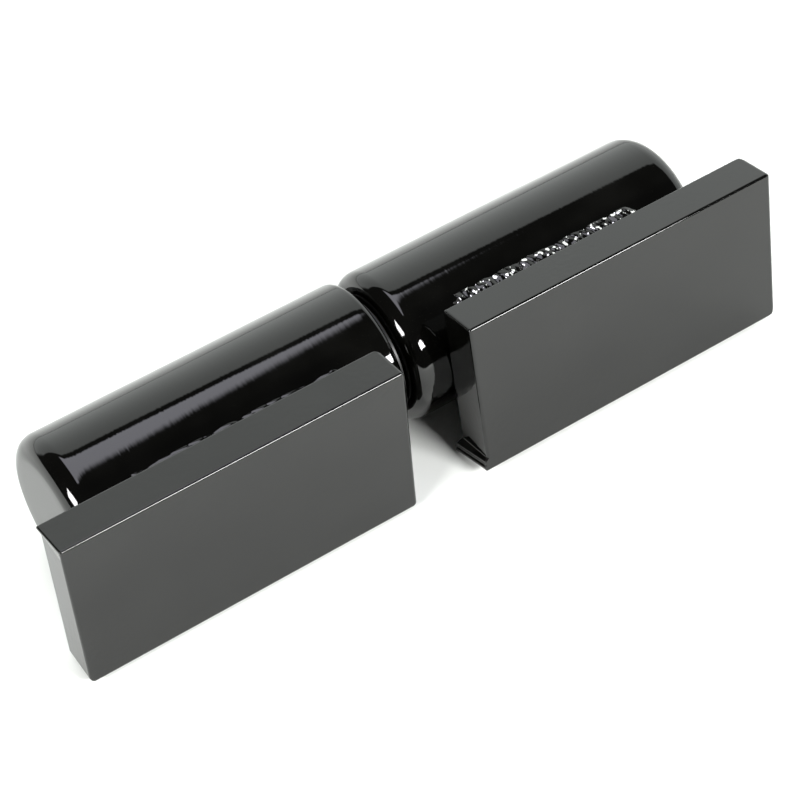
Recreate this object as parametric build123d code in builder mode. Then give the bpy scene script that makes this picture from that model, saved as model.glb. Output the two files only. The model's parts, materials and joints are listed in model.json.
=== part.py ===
"""Heavy weld-on barrel hinge: two round barrels on one pin, each with a flat-bar plate welded to its side.

The hinge lies as it does on a bench. The pin's axis runs along X, each barrel touches the ground plane
z = 0, and each plate stands on its lower back edge. The frame leaf is on -X and the gate leaf on +X.
The origin is on the ground, under the middle of the hinge's outer box. Millimetres.
"""
import os
from math import cos, radians, sin

from build123d import *

os.makedirs("parts", exist_ok=True)

# Barrels
BARREL_R = 23.0
FRAME_BARREL_LENGTH = 102.0
GATE_BARREL_LENGTH = 103.0
OUTER_ROUND = 6.0
FRAME_INNER_ROUND = 2.0
GATE_INNER_ROUND = 5.0
JOINT_GAP = 2.8

# Plates, cut from flat bar
PLATE_LENGTH = 106.0
PLATE_WIDTH = 50.8
PLATE_THICKNESS = 12.7
PLATE_EDGE_ROUND = 0.8
SHEAR_ROUND = 2.4

# Each leaf: how far its plate stands back from the joint, and how far the plate leans over its barrel
FRAME_SETBACK = 9.7
FRAME_TILT = 7.8
GATE_SETBACK = 12.8
GATE_TILT = 12.4

# Weld beads, measured round the barrel from the line where it touches the plate. Each bead stops short of
# the plate's end near the joint and of the barrel's far end.
WELD_ROOT_ANGLE = 8.0
FRAME_WELD_ANGLE = 46.0
GATE_WELD_ANGLE = 49.0
WELD_CROWN = 1.4
FRAME_WELD_STOPS = (5.5, 8.0)
GATE_WELD_STOPS = (4.0, 11.0)

# Pin
PIN_R = 8.5
PIN_IN_FRAME = 70.0
PIN_IN_GATE = 64.0
PIN_CHAMFER = 1.2
PIN_BORE_SPARE = 2.0

# Thrust ball bearing, 17 x 30 x 9, centred on the joint
THRUST_HEIGHT = 9.0
THRUST_OUTER_R = 14.9
THRUST_POCKET_R = 15.1
THRUST_WASHER = 2.9
THRUST_GATE_BORE_R = 9.1
THRUST_BALL_R = 2.4
THRUST_BALLS = 12
THRUST_CAGE_THICKNESS = 1.6
THRUST_CAGE_R = (8.9, 14.6)

# Radial ball bearings, 17 x 30 x 7
BEARING_OUTER_R = 15.0
BEARING_WIDTH = 7.0
BEARING_PITCH_R = 11.75
INNER_RING_R = 10.5
OUTER_RING_R = 13.0
BALL_R = 1.985
BALLS = 11
CAGE_R = (11.0, 12.5)
CAGE_WIDTH = 5.1
SEAL_THICKNESS = 0.6
SEAL_INSET = 0.15
SEAL_LIP_GAP = 0.2
BALL_CLEARANCE = 0.15
POCKET_CLEARANCE = 0.08

# Spacers, circlips and the dust seal
SPACER_LENGTH = 40.0
SPACER_WALL = 1.7
BORE_CLIP_THICKNESS = 1.2
BORE_CLIP_R = (12.6, 15.7)
PIN_CLIP_THICKNESS = 1.0
PIN_CLIP_R = (8.1, 10.4)
CLIP_MOUTH = 24.0
CLIP_LUG_R = 1.3
CLIP_EYE_R = 0.6
CLIP_SLACK_BORE_R = 12.4
CLIP_SLACK_DEPTH = 7.5
DUST_SEAL_R = (15.5, 17.6)
DUST_SEAL_THICKNESS = 2.2


def plate_drop(tilt):
    """How far the plate's middle lies from the barrel's centre line for its back edge to reach the ground."""
    lean, stand = sin(radians(tilt)), cos(radians(tilt))
    r = PLATE_EDGE_ROUND
    return PLATE_WIDTH / 2 - r - (BARREL_R - r + (BARREL_R + r) * lean) / stand


def plate_reach(tilt):
    """How far the plate's lower front edge stands out from the pin's axis."""
    lean, stand = sin(radians(tilt)), cos(radians(tilt))
    low_edge = PLATE_WIDTH / 2 - plate_drop(tilt)
    rounding = PLATE_EDGE_ROUND * (stand + lean - 1)
    return (BARREL_R + PLATE_THICKNESS) * stand + low_edge * lean - rounding


# Where the joint's middle and the pin's axis lie, so that the origin is under the box's middle
JOINT_X = (FRAME_SETBACK - GATE_SETBACK) / 2
AXIS_Y = (max(plate_reach(FRAME_TILT), plate_reach(GATE_TILT)) - BARREL_R) / 2
AXIS_Z = BARREL_R
HINGE_AXIS = Axis((0, AXIS_Y, AXIS_Z), (1, 0, 0))

# The half section of everything turned: local X along the pin from the joint's middle, local Y outward
TURNING_PLANE = Plane(origin=(JOINT_X, AXIS_Y, AXIS_Z), x_dir=(1, 0, 0), z_dir=(0, -1, 0))

# Stations along the pin, from the joint's middle
FACE = JOINT_GAP / 2
WASHER_BACK = THRUST_HEIGHT / 2
NEAR_BEARING = WASHER_BACK + BORE_CLIP_THICKNESS
FAR_BEARING = NEAR_BEARING + BEARING_WIDTH + SPACER_LENGTH
STACK_END = FAR_BEARING + BEARING_WIDTH


def cross_plane(station):
    """A plane square to the pin, facing +X, at a station along it."""
    return Plane(origin=(JOINT_X + station, AXIS_Y, AXIS_Z), x_dir=(0, 1, 0), z_dir=(1, 0, 0))


def leaf_plane(tilt):
    """The plane of a leaf through the pin's axis: local X along the pin, local Z out through the plate."""
    outward = (0, -cos(radians(tilt)), sin(radians(tilt)))
    return Plane(origin=(JOINT_X, AXIS_Y, AXIS_Z), x_dir=(1, 0, 0), z_dir=outward)


def finish_piece(part, label):
    """Names a piece and writes its file."""
    part.label = label
    export_step(part, f"parts/{label}.step")


def turn_band(start, end, r_inner, r_outer):
    """Turns a plain ring between two stations, inside the running part."""
    with BuildSketch(TURNING_PLANE) as section:
        with Locations((start, r_inner)):
            Rectangle(end - start, r_outer - r_inner, align=(Align.MIN, Align.MIN))
    revolve(section.sketch, axis=HINGE_AXIS)


def turn_grooved_band(start, end, r_inner, r_outer, ball_station, pitch_r, groove_r):
    """Turns a ring with a ball groove cut into it."""
    with BuildSketch(TURNING_PLANE) as section:
        with Locations((start, r_inner)):
            Rectangle(end - start, r_outer - r_inner, align=(Align.MIN, Align.MIN))
        with Locations((ball_station, pitch_r)):
            Circle(groove_r, mode=Mode.SUBTRACT)
    revolve(section.sketch, axis=HINGE_AXIS)


def make_plate(label, side, setback, tilt):
    """A length of flat bar on the barrel's side. The shear rolled over the back edge of its right end."""
    middle = side * (setback + PLATE_LENGTH / 2)
    with BuildPart() as plate:
        with BuildSketch(leaf_plane(tilt).offset(BARREL_R)):
            with Locations((middle, plate_drop(tilt))):
                Rectangle(PLATE_LENGTH, PLATE_WIDTH)
        extrude(amount=PLATE_THICKNESS)
        right_end = plate.faces().sort_by(Axis.X)[-1]
        fillet(right_end.edges().group_by(SortBy.LENGTH)[-1].sort_by(Axis.Y)[-1], SHEAR_ROUND)
        fillet(plate.edges().filter_by(Axis.X), PLATE_EDGE_ROUND)
    finish_piece(plate.part, label)


def make_weld(label, side, barrel_length, setback, tilt, stops, angle, above):
    """A fillet weld in the valley between the barrel and the plate's back, above or below the touch line."""
    near = side * (setback + stops[0])
    far = side * (barrel_length + FACE - OUTER_ROUND - stops[1])
    start, end = max(near, far), min(near, far)
    outward = leaf_plane(tilt).z_dir
    section = Plane(origin=(JOINT_X + start, AXIS_Y, AXIS_Z), x_dir=outward, z_dir=(-1, 0, 0))
    root, toe = radians(WELD_ROOT_ANGLE) * above, radians(angle) * above
    root_point = (BARREL_R * cos(root), BARREL_R * sin(root))
    mid_point = (BARREL_R * cos((root + toe) / 2), BARREL_R * sin((root + toe) / 2))
    barrel_toe = (BARREL_R * cos(toe), BARREL_R * sin(toe))
    plate_toe = (BARREL_R, BARREL_R * sin(toe))
    plate_root = (BARREL_R, BARREL_R * sin(root))
    crown = ((barrel_toe[0] + plate_toe[0]) / 2, barrel_toe[1] + WELD_CROWN * above)
    with BuildPart() as weld:
        with BuildSketch(section):
            with BuildLine():
                ThreePointArc(root_point, mid_point, barrel_toe)
                ThreePointArc(barrel_toe, crown, plate_toe)
                Polyline(plate_toe, plate_root, root_point)
            make_face()
        extrude(amount=start - end)
    finish_piece(weld.part, label)


def make_bearing(name, start):
    """One sealed radial ball bearing: inner ring, outer ring, balls, cage and a pair of seals."""
    end = start + BEARING_WIDTH
    middle = (start + end) / 2
    groove_r = BALL_R + BALL_CLEARANCE

    with BuildPart() as inner_ring:
        turn_grooved_band(start, end, PIN_R, INNER_RING_R, middle, BEARING_PITCH_R, groove_r)
    finish_piece(inner_ring.part, f"{name}_inner_ring")

    with BuildPart() as outer_ring:
        turn_grooved_band(start, end, OUTER_RING_R, BEARING_OUTER_R, middle, BEARING_PITCH_R, groove_r)
    finish_piece(outer_ring.part, f"{name}_outer_ring")

    with BuildPart(cross_plane(middle)) as balls:
        with PolarLocations(BEARING_PITCH_R, BALLS):
            Sphere(BALL_R)
    finish_piece(balls.part, f"{name}_balls")

    with BuildPart(cross_plane(middle)) as cage:
        Cylinder(CAGE_R[1], CAGE_WIDTH)
        Cylinder(CAGE_R[0], CAGE_WIDTH, mode=Mode.SUBTRACT)
        with PolarLocations(BEARING_PITCH_R, BALLS):
            Cylinder(BALL_R + POCKET_CLEARANCE, BALL_R, rotation=(0, 90, 0), mode=Mode.SUBTRACT)
    finish_piece(cage.part, f"{name}_cage")

    with BuildPart() as seals:
        seal_starts = (start + SEAL_INSET, end - SEAL_INSET - SEAL_THICKNESS)
        for seal_start in seal_starts:
            turn_band(seal_start, seal_start + SEAL_THICKNESS, INNER_RING_R + SEAL_LIP_GAP, OUTER_RING_R)
    finish_piece(seals.part, f"{name}_seals")


def make_circlip(label, start, thickness, radii, lug_centre_r):
    """A spring ring with a mouth at the top and a plier eye in a lug on each side of it."""
    half_mouth = radians(CLIP_MOUTH / 2)
    reach = 2 * radii[1]
    with BuildPart() as clip:
        with BuildSketch(cross_plane(start)):
            Circle(radii[1])
            Circle(radii[0], mode=Mode.SUBTRACT)
            with BuildLine():
                Polyline(
                    (0, 0),
                    (-reach * sin(half_mouth), reach * cos(half_mouth)),
                    (reach * sin(half_mouth), reach * cos(half_mouth)),
                    close=True,
                )
            make_face(mode=Mode.SUBTRACT)
            lug_angles = (90 - CLIP_MOUTH / 2, 90 + CLIP_MOUTH / 2)
            lug_spots = [
                (lug_centre_r * cos(radians(angle)), lug_centre_r * sin(radians(angle))) for angle in lug_angles
            ]
            with Locations(*lug_spots):
                Circle(CLIP_LUG_R)
                Circle(CLIP_EYE_R, mode=Mode.SUBTRACT)
        extrude(amount=thickness)
    finish_piece(clip.part, label)


# Frame barrel: a blind bore for the pressed pin, and a pocket in its inner face for the thrust bearing
with BuildPart() as frame_barrel:
    with Locations(cross_plane(-FACE - FRAME_BARREL_LENGTH)):
        Cylinder(BARREL_R, FRAME_BARREL_LENGTH, align=(Align.CENTER, Align.CENTER, Align.MIN))
    fillet(frame_barrel.faces().sort_by(Axis.X)[0].edges(), OUTER_ROUND)
    fillet(frame_barrel.faces().sort_by(Axis.X)[-1].edges(), FRAME_INNER_ROUND)
    with Locations(cross_plane(-FACE)):
        CounterBoreHole(PIN_R, THRUST_POCKET_R, WASHER_BACK - FACE, depth=PIN_IN_FRAME + PIN_BORE_SPARE)
finish_piece(frame_barrel.part, "frame_barrel")

# Gate barrel: a blind bore for the bearings, a slack bore behind them and a groove for the bore circlip
with BuildPart() as gate_barrel:
    with Locations(cross_plane(FACE)):
        Cylinder(BARREL_R, GATE_BARREL_LENGTH, align=(Align.CENTER, Align.CENTER, Align.MIN))
    fillet(gate_barrel.faces().sort_by(Axis.X)[-1].edges(), OUTER_ROUND)
    fillet(gate_barrel.faces().sort_by(Axis.X)[0].edges(), GATE_INNER_ROUND)
    stack_depth = STACK_END - FACE
    with Locations(-cross_plane(FACE)):
        CounterBoreHole(
            CLIP_SLACK_BORE_R, BEARING_OUTER_R, stack_depth, depth=stack_depth + CLIP_SLACK_DEPTH
        )
    with BuildSketch(cross_plane(WASHER_BACK)):
        Circle(BORE_CLIP_R[1])
    extrude(amount=BORE_CLIP_THICKNESS, mode=Mode.SUBTRACT)
finish_piece(gate_barrel.part, "gate_barrel")

make_plate("frame_plate", -1, FRAME_SETBACK, FRAME_TILT)
make_plate("gate_plate", 1, GATE_SETBACK, GATE_TILT)

for above, place in ((1, "upper"), (-1, "lower")):
    make_weld(
        f"frame_weld_{place}",
        -1,
        FRAME_BARREL_LENGTH,
        FRAME_SETBACK,
        FRAME_TILT,
        FRAME_WELD_STOPS,
        FRAME_WELD_ANGLE,
        above,
    )
    make_weld(
        f"gate_weld_{place}",
        1,
        GATE_BARREL_LENGTH,
        GATE_SETBACK,
        GATE_TILT,
        GATE_WELD_STOPS,
        GATE_WELD_ANGLE,
        above,
    )

# Hinge pin, with a groove for its circlip behind the far bearing
with BuildPart() as hinge_pin:
    turn_band(-PIN_IN_FRAME, PIN_IN_GATE, 0, PIN_R)
    chamfer(hinge_pin.edges().filter_by(GeomType.CIRCLE), PIN_CHAMFER)
    with BuildSketch(TURNING_PLANE):
        with Locations((STACK_END, PIN_CLIP_R[0])):
            Rectangle(PIN_CLIP_THICKNESS, PIN_R, align=(Align.MIN, Align.MIN))
    revolve(axis=HINGE_AXIS, mode=Mode.SUBTRACT)
finish_piece(hinge_pin.part, "hinge_pin")

# Thrust bearing: the frame washer grips the pin and the gate washer clears it
thrust_groove_r = THRUST_BALL_R + BALL_CLEARANCE
with BuildPart() as thrust_frame_washer:
    turn_grooved_band(
        -WASHER_BACK, THRUST_WASHER - WASHER_BACK, PIN_R, THRUST_OUTER_R, 0, BEARING_PITCH_R, thrust_groove_r
    )
finish_piece(thrust_frame_washer.part, "thrust_frame_washer")

with BuildPart() as thrust_gate_washer:
    turn_grooved_band(
        WASHER_BACK - THRUST_WASHER,
        WASHER_BACK,
        THRUST_GATE_BORE_R,
        THRUST_OUTER_R,
        0,
        BEARING_PITCH_R,
        thrust_groove_r,
    )
finish_piece(thrust_gate_washer.part, "thrust_gate_washer")

with BuildPart(cross_plane(0)) as thrust_balls:
    with PolarLocations(BEARING_PITCH_R, THRUST_BALLS):
        Sphere(THRUST_BALL_R)
finish_piece(thrust_balls.part, "thrust_balls")

with BuildPart(cross_plane(0)) as thrust_cage:
    Cylinder(THRUST_CAGE_R[1], THRUST_CAGE_THICKNESS)
    Cylinder(THRUST_CAGE_R[0], THRUST_CAGE_THICKNESS, mode=Mode.SUBTRACT)
    with PolarLocations(BEARING_PITCH_R, THRUST_BALLS):
        Cylinder(THRUST_BALL_R + POCKET_CLEARANCE, THRUST_CAGE_THICKNESS, mode=Mode.SUBTRACT)
finish_piece(thrust_cage.part, "thrust_cage")

make_bearing("near_bearing", NEAR_BEARING)
make_bearing("far_bearing", FAR_BEARING)

# Spacer sleeves between the two bearings
with BuildPart() as inner_spacer:
    turn_band(NEAR_BEARING + BEARING_WIDTH, FAR_BEARING, PIN_R, PIN_R + SPACER_WALL)
finish_piece(inner_spacer.part, "inner_spacer")

with BuildPart() as outer_spacer:
    turn_band(NEAR_BEARING + BEARING_WIDTH, FAR_BEARING, BEARING_OUTER_R - SPACER_WALL, BEARING_OUTER_R)
finish_piece(outer_spacer.part, "outer_spacer")

# Circlips: the bore's has its lugs inside its ring, the pin's has them outside
make_circlip("bore_circlip", WASHER_BACK, BORE_CLIP_THICKNESS, BORE_CLIP_R, BORE_CLIP_R[0] - 0.2)
make_circlip("pin_circlip", STACK_END, PIN_CLIP_THICKNESS, PIN_CLIP_R, PIN_CLIP_R[1] + 0.3)

# Dust seal washer, bonded to the frame barrel's inner face
with BuildPart() as dust_seal:
    turn_band(-FACE, DUST_SEAL_THICKNESS - FACE, DUST_SEAL_R[0], DUST_SEAL_R[1])
finish_piece(dust_seal.part, "dust_seal")
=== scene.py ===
"""The looks of a heavy weld-on barrel hinge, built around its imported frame.

Two equal round barrels turn end to end on a hidden pin. Each carries a thick sheared plate, held along its
back by two weld beads, and everything outside is sprayed with one glossy black enamel. The inner pieces
keep their frame meshes and get bare metal, brass and rubber finishes. Every length is in metres, in the
frame's own axes: the pin runs along X and the hinge lies on the ground plane z = 0.
"""
import json
import logging
import math
from dataclasses import dataclass, replace
from enum import Enum
from typing import Any, Sequence

import bmesh
import bpy
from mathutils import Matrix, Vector, noise

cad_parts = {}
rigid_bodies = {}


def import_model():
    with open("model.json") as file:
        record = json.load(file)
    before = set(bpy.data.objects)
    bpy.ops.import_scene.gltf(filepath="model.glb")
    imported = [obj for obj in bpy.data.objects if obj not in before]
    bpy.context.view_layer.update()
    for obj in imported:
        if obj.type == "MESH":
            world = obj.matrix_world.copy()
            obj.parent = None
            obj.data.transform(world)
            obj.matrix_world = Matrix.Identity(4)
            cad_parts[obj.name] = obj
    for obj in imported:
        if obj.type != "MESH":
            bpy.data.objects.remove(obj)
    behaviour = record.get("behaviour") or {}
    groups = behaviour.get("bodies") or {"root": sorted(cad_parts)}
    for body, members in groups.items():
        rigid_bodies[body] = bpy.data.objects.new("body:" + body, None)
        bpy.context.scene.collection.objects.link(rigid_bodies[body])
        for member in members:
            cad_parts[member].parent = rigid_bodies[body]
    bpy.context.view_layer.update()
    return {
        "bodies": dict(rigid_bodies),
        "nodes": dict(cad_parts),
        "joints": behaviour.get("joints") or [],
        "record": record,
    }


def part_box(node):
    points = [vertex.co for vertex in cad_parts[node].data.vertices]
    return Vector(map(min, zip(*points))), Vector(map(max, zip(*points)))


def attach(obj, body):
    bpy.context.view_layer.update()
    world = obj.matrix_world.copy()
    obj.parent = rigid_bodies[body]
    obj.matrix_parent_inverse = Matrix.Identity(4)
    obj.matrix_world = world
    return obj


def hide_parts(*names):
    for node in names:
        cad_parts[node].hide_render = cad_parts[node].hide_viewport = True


log = logging.getLogger("barrel_hinge")

MM = 0.001
X_AXIS = Vector((1.0, 0.0, 0.0))

FLOAT = "NodeSocketFloat"
COLOR = "NodeSocketColor"
COLOR_START, COLOR_END, COLOR_RESULT = 6, 7, 2  # a Mix node's colour sockets, by number


class Slot(str, Enum):
    """The finishes that the hinge's record names."""

    BARREL = "painted_barrel"
    PLATE = "painted_plate"
    WELD = "painted_weld"
    TURNED = "turned_steel"
    BEARING = "bearing_steel"
    BALL = "polished_ball"
    BRASS = "brass_cage"
    SPRING = "spring_steel"
    RUBBER = "rubber"


class Side(Enum):
    """Which way a leaf runs from the joint, along X."""

    FRAME = -1
    GATE = 1


# ---------------------------------------------------------------------------------------------------------
# Node trees


class Graph:
    """A node tree being built, with short calls for the nodes that the finishes and beads use."""

    def __init__(self, tree: bpy.types.NodeTree) -> None:
        """Starts with an empty tree.

        Args:
            tree: the tree to fill. Nodes that it already holds are removed.
        """
        self.tree = tree
        self.tree.nodes.clear()
        self.column = 0

    def add(self, kind: str, inputs: dict[str | int, Any] | None = None, **settings: Any) -> bpy.types.Node:
        """Adds one node.

        Args:
            kind: the node's Blender type name.
            inputs: what each input gets, by name or number: a socket is linked, anything else is a value.
            **settings: the node's own properties.

        Returns:
            The new node.
        """
        node = self.tree.nodes.new(kind)
        node.location = (220 * self.column, 0)
        self.column += 1
        for name, value in settings.items():
            setattr(node, name, value)
        for name, value in (inputs or {}).items():
            self.feed(node.inputs[name], value)
        return node

    def feed(self, socket: bpy.types.NodeSocket, value: Any) -> None:
        """Links a socket to another, or sets its value.

        Args:
            socket: the input to feed.
            value: an output socket, or a plain value.
        """
        if isinstance(value, bpy.types.NodeSocket):
            self.tree.links.new(value, socket)
        else:
            socket.default_value = value

    def math(self, operation: str, *terms: Any, clamp: bool = False) -> bpy.types.NodeSocket:
        """Adds a Math node.

        Args:
            operation: the node's operation.
            *terms: its one, two or three inputs.
            clamp: whether the result is kept from 0 to 1.

        Returns:
            The node's result.
        """
        node = self.add("ShaderNodeMath", dict(enumerate(terms)), operation=operation, use_clamp=clamp)
        return node.outputs[0]

    def vector(self, operation: str, *terms: Any) -> bpy.types.NodeSocket:
        """Adds a Vector Math node.

        Args:
            operation: the node's operation.
            *terms: its vector inputs.

        Returns:
            The node's result: a number for a dot product, a vector otherwise.
        """
        node = self.add("ShaderNodeVectorMath", dict(enumerate(terms)), operation=operation)
        return node.outputs["Value" if operation == "DOT_PRODUCT" else "Vector"]

    def scaled(self, vector: Any, factor: Any) -> bpy.types.NodeSocket:
        """Scales a vector.

        Args:
            vector: the vector's socket.
            factor: the factor, as a number or a socket.

        Returns:
            The scaled vector's socket.
        """
        node = self.add("ShaderNodeVectorMath", {"Vector": vector, "Scale": factor}, operation="SCALE")
        return node.outputs["Vector"]

    def steps(self, value: Any, low: float, high: float, start: float = 0.0, end: float = 1.0) -> Any:
        """Fades smoothly from one value to another as the input crosses a range.

        Args:
            value: the input.
            low: where the fade starts.
            high: where it ends.
            start: the result up to low.
            end: the result from high on.

        Returns:
            The result's socket.
        """
        limits = {"From Min": low, "From Max": high, "To Min": start, "To Max": end}
        node = self.add("ShaderNodeMapRange", {"Value": value, **limits}, interpolation_type="SMOOTHSTEP")
        return node.outputs["Result"]

    def noise(self, vector: Any, scale: Any, detail: float = 2.0, roughness: float = 0.5) -> Any:
        """Adds a noise texture.

        Args:
            vector: where it is read.
            scale: its scale, in cycles per metre where the vector is in metres.
            detail: how many octaves.
            roughness: how strong the finer octaves are.

        Returns:
            The noise's value, from 0 to 1.
        """
        inputs = {"Vector": vector, "Scale": scale, "Detail": detail, "Roughness": roughness}
        return self.add("ShaderNodeTexNoise", inputs).outputs[0]

    def blend(self, factor: Any, start: Any, end: Any) -> bpy.types.NodeSocket:
        """Mixes two colours.

        Args:
            factor: how much of the second one shows, from 0 to 1.
            start: the first colour.
            end: the second colour.

        Returns:
            The mixed colour's socket.
        """
        inputs = {"Factor": factor, COLOR_START: start, COLOR_END: end}
        return self.add("ShaderNodeMix", inputs, data_type="RGBA").outputs[COLOR_RESULT]

    def group(self, tree: bpy.types.NodeTree, values: dict[str, Any]) -> Any:
        """Adds a shader node group.

        Args:
            tree: the group.
            values: what its inputs get, by name. The others keep their defaults.

        Returns:
            The group's outputs, by name.
        """
        return self.add("ShaderNodeGroup", values, node_tree=tree).outputs


def open_group(name: str, kind: str, inputs: dict[str, Any], outputs: dict[str, str]) -> Graph:
    """Starts a node group with named inputs and outputs.

    Args:
        name: the group's name.
        kind: the tree's type.
        inputs: each input's socket type, or a pair of its type and default, by name.
        outputs: each output's socket type, by name.

    Returns:
        The empty group's graph.
    """
    tree = bpy.data.node_groups.new(name, kind)
    for label, spec in inputs.items():
        socket_type, default = spec if isinstance(spec, tuple) else (spec, None)
        socket = tree.interface.new_socket(label, in_out="INPUT", socket_type=socket_type)
        if default is not None:
            socket.default_value = default
    for label, socket_type in outputs.items():
        tree.interface.new_socket(label, in_out="OUTPUT", socket_type=socket_type)
    return Graph(tree)


RING_STRETCH = (1.0, 0.028, 0.028)
MARK_STRETCH = (1.0, 0.03, 0.03)


class Effects:
    """The surface effects that several finishes share, each one shader node group."""

    def __init__(self) -> None:
        """Builds each group once."""
        self.skin = self.build_skin()
        self.film = self.build_film()
        self.lay = self.build_lay()

    @staticmethod
    def build_skin() -> bpy.types.NodeTree:
        """Height of sprayed enamel: rings left by the lathe under it, orange peel and fine nibs.

        Returns:
            A group that puts out a height in metres.
        """
        graph = open_group(
            "Enamel Skin",
            "ShaderNodeTree",
            {
                "Ring Height": (FLOAT, 0.0),
                "Ring Pitch": (FLOAT, MM),
                "Peel Height": (FLOAT, 0.0),
                "Peel Size": (FLOAT, MM),
                "Nib Height": (FLOAT, 0.0),
                "Nib Size": (FLOAT, MM),
            },
            {"Height": FLOAT},
        )
        given = graph.add("NodeGroupInput").outputs
        place = graph.add("ShaderNodeTexCoord").outputs["Object"]
        along = graph.vector("MULTIPLY", place, RING_STRETCH)
        ring_noise = graph.noise(along, graph.math("DIVIDE", 0.9, given["Ring Pitch"]), 2.5)
        peel_noise = graph.noise(place, graph.math("DIVIDE", 0.6, given["Peel Size"]), 1.0)
        nib_noise = graph.noise(place, graph.math("DIVIDE", 0.6, given["Nib Size"]), 1.0)
        patches = graph.steps(graph.noise(place, 38.0, 1.0), 0.42, 0.62)
        rings = graph.math("MULTIPLY", ring_noise, given["Ring Height"])
        peel = graph.math("MULTIPLY", peel_noise, given["Peel Height"])
        nibs = graph.math("MULTIPLY", graph.math("MULTIPLY", nib_noise, given["Nib Height"]), patches)
        height = graph.math("ADD", graph.math("ADD", rings, peel), nibs)
        graph.add("NodeGroupOutput", {"Height": height})
        return graph.tree

    @staticmethod
    def build_film() -> bpy.types.NodeTree:
        """Colour and gloss of sprayed enamel: faint clouding, and a few specks of settled dust.

        Returns:
            A group that puts out a colour and a roughness.
        """
        graph = open_group(
            "Enamel Film",
            "ShaderNodeTree",
            {
                "Deep": (COLOR, (0.0008, 0.0008, 0.0006, 1.0)),
                "Cloud": (COLOR, (0.0024, 0.0024, 0.0020, 1.0)),
                "Dust": (COLOR, (0.30, 0.30, 0.29, 1.0)),
                "Gloss": (FLOAT, 0.05),
                "Haze": (FLOAT, 0.09),
                "Dust Amount": (FLOAT, 0.012),
            },
            {"Color": COLOR, "Roughness": FLOAT},
        )
        given = graph.add("NodeGroupInput").outputs
        place = graph.add("ShaderNodeTexCoord").outputs["Object"]
        clouds = graph.steps(graph.noise(place, 42.0, 3.0, 0.55), 0.35, 0.70)
        speck = graph.add("ShaderNodeTexVoronoi", {"Vector": place, "Scale": 260.0}, feature="F1")
        pick = graph.vector("DOT_PRODUCT", speck.outputs["Color"], X_AXIS)
        chosen = graph.math("LESS_THAN", pick, given["Dust Amount"])
        dot = graph.steps(speck.outputs["Distance"], 0.035, 0.06, 1.0, 0.0)
        dust = graph.math("MULTIPLY", chosen, dot)
        dusty = graph.blend(dust, graph.blend(clouds, given["Deep"], given["Cloud"]), given["Dust"])
        span = graph.math("SUBTRACT", given["Haze"], given["Gloss"])
        soft = graph.math("MULTIPLY_ADD", clouds, span, given["Gloss"])
        rough = graph.math("MULTIPLY_ADD", dust, 0.4, soft)
        graph.add("NodeGroupOutput", {"Color": dusty, "Roughness": rough})
        return graph.tree

    @staticmethod
    def build_lay() -> bpy.types.NodeTree:
        """Machined metal: fine tool marks that run round the pin, with a little staining.

        Returns:
            A group that puts out a colour, a roughness and a height in metres.
        """
        graph = open_group(
            "Machined Lay",
            "ShaderNodeTree",
            {
                "Metal": (COLOR, (0.5, 0.5, 0.5, 1.0)),
                "Stain": (COLOR, (0.3, 0.27, 0.22, 1.0)),
                "Polish": (FLOAT, 0.2),
                "Wear": (FLOAT, 0.35),
                "Mark Height": (FLOAT, 0.0),
                "Mark Pitch": (FLOAT, 0.2 * MM),
            },
            {"Color": COLOR, "Roughness": FLOAT, "Height": FLOAT},
        )
        given = graph.add("NodeGroupInput").outputs
        place = graph.add("ShaderNodeTexCoord").outputs["Object"]
        stains = graph.steps(graph.noise(place, 160.0, 4.0, 0.6), 0.45, 0.72)
        along = graph.vector("MULTIPLY", place, MARK_STRETCH)
        marks = graph.noise(along, graph.math("DIVIDE", 0.55, given["Mark Pitch"]), 2.0)
        color = graph.blend(graph.math("MULTIPLY", stains, 0.5), given["Metal"], given["Stain"])
        span = graph.math("SUBTRACT", given["Wear"], given["Polish"])
        worn = graph.math("MULTIPLY_ADD", marks, 0.5, stains)
        rough = graph.math("MULTIPLY_ADD", worn, span, given["Polish"])
        height = graph.math("MULTIPLY", marks, given["Mark Height"])
        graph.add("NodeGroupOutput", {"Color": color, "Roughness": rough, "Height": height})
        return graph.tree


# ---------------------------------------------------------------------------------------------------------
# Finishes


def start_material(name: str) -> tuple[bpy.types.Material, Graph, bpy.types.Node]:
    """Makes a material with a Principled shader and nothing else.

    Args:
        name: the material's name.

    Returns:
        The material, its graph and its shader node.
    """
    material = bpy.data.materials.new(name)
    material.use_nodes = True
    graph = Graph(material.node_tree)
    shader = graph.add("ShaderNodeBsdfPrincipled")
    graph.add("ShaderNodeOutputMaterial", {"Surface": shader.outputs["BSDF"]})
    return material, graph, shader


def join_surface(graph: Graph, shader: bpy.types.Node, color: Any, roughness: Any, height: Any) -> None:
    """Joins a finish's effects to its shader.

    Args:
        graph: the material's graph.
        shader: its shader node.
        color: the colour's socket.
        roughness: the roughness's socket.
        height: the socket of the surface's height, in metres.
    """
    bump = graph.add("ShaderNodeBump", {"Height": height, "Distance": 1.0})
    graph.feed(shader.inputs["Base Color"], color)
    graph.feed(shader.inputs["Roughness"], roughness)
    graph.feed(shader.inputs["Normal"], bump.outputs["Normal"])


# painted glints: colour and noise fade of the bright metal spots that stand in for highlights on the weld
# bead
PAINTED_GLINT_COLOR = (0.92, 0.92, 0.90, 1.0)
PAINTED_GLINT_FADE = (0.585, 0.60)


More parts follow.
